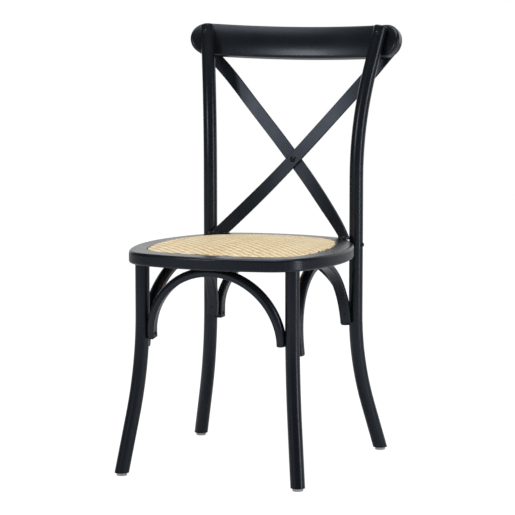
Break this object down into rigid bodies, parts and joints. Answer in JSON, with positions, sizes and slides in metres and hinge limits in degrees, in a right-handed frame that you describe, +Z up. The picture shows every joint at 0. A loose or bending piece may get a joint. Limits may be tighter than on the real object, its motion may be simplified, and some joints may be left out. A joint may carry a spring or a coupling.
{
  "type": "dining chair",
  "caption": "Black dining chair with bent round legs, a curved crest rail, crossed back slats, arched braces under the seat and a woven cane seat.",
  "frame": {"origin": "on the floor, at the middle of the chair's width and depth", "axes": "+Z up, the chair faces -Y, +X is on the right of a viewer who faces its front"},
  "size_m": [0.4702, 0.5428, 0.8897],
  "materials": {
    "black_paint": "satin black paint on wood",
    "black_strap": "satin black paint on a steel strip",
    "black_screw": "black screw heads",
    "plain_steel": "bare steel, out of sight",
    "board": "bare thin board, out of sight",
    "dowel": "bare wood, out of sight",
    "natural_cane": "natural woven rattan, unpainted",
    "pale_glide": "pale grey plastic"
  },
  "bodies": {
    "root": {"seat_front_rail": "black_paint", "seat_rear_rail": "black_paint", "right_seat_rail": "black_paint", "left_seat_rail": "black_paint", "seat_frame_dowels": "dowel", "seat_board": "board", "seat_board_screws": "plain_steel", "woven_cane": "natural_cane", "crest_rail": "black_paint", "crest_screws": "black_screw", "front_back_slat": "black_strap", "rear_back_slat": "black_strap", "slat_cross_bolt": "black_screw", "slat_cross_nut": "black_screw", "slat_top_screws": "black_screw", "slat_foot_screws": "black_screw", "front_brace": "black_paint", "rear_brace": "black_paint", "right_brace": "black_paint", "left_brace": "black_paint", "brace_end_screws": "black_screw", "brace_top_screws": "black_screw", "post_bolts": "black_screw", "post_barrel_nuts": "plain_steel", "right_front_leg": "black_paint", "left_front_leg": "black_paint", "right_rear_post": "black_paint", "left_rear_post": "black_paint", "right_front_glide": "pale_glide", "left_front_glide": "pale_glide", "right_rear_glide": "pale_glide", "left_rear_glide": "pale_glide", "glide_nails": "plain_steel"}
  },
  "joints": []
}
